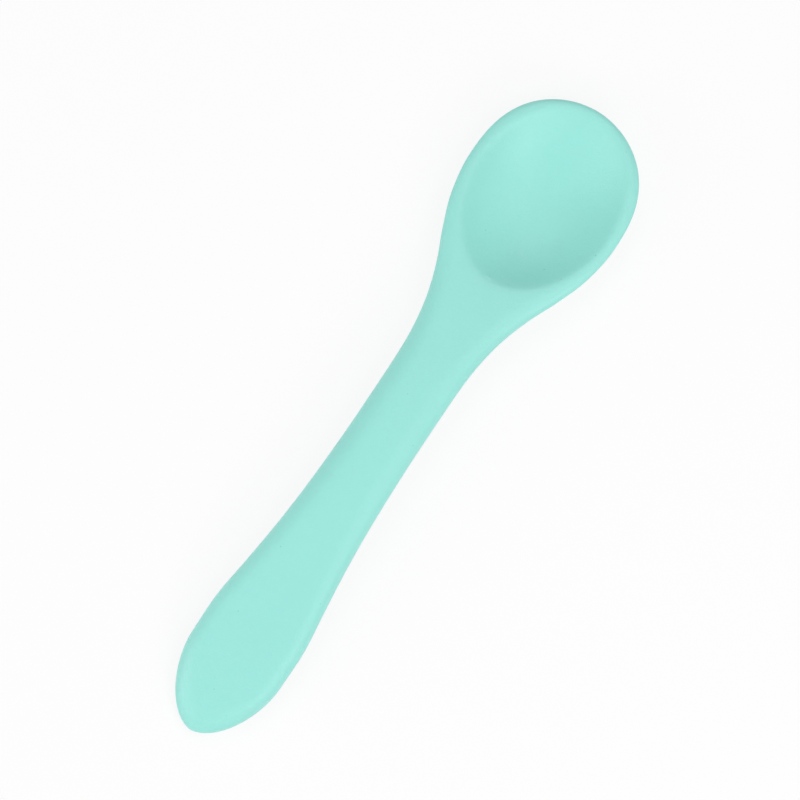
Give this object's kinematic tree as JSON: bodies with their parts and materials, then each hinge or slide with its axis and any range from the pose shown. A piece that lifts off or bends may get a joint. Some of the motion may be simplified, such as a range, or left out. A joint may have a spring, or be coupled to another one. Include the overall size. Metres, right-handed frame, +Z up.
{
  "type": "baby spoon",
  "caption": "Baby feeding spoon: a soft silicone body with a deep oval bowl and a rounded rim, a narrow neck and a flat, arched handle that widens to a pointed grip over a stiff core.",
  "frame": {"origin": "centre of the spoon's length and width, on the table that it rests on", "axes": "+X along the spoon from the handle to the bowl, +Y across it, +Z up out of the hollow of the bowl"},
  "size_m": [0.142, 0.0334, 0.0107],
  "materials": {
    "silicone": "smooth satin silicone",
    "core": "plain moulded",
    "back_silicone": "smooth satin silicone"
  },
  "bodies": {
    "root": {"spoon_body": "silicone", "handle_core": "core", "back_strip": "back_silicone"}
  },
  "joints": []
}
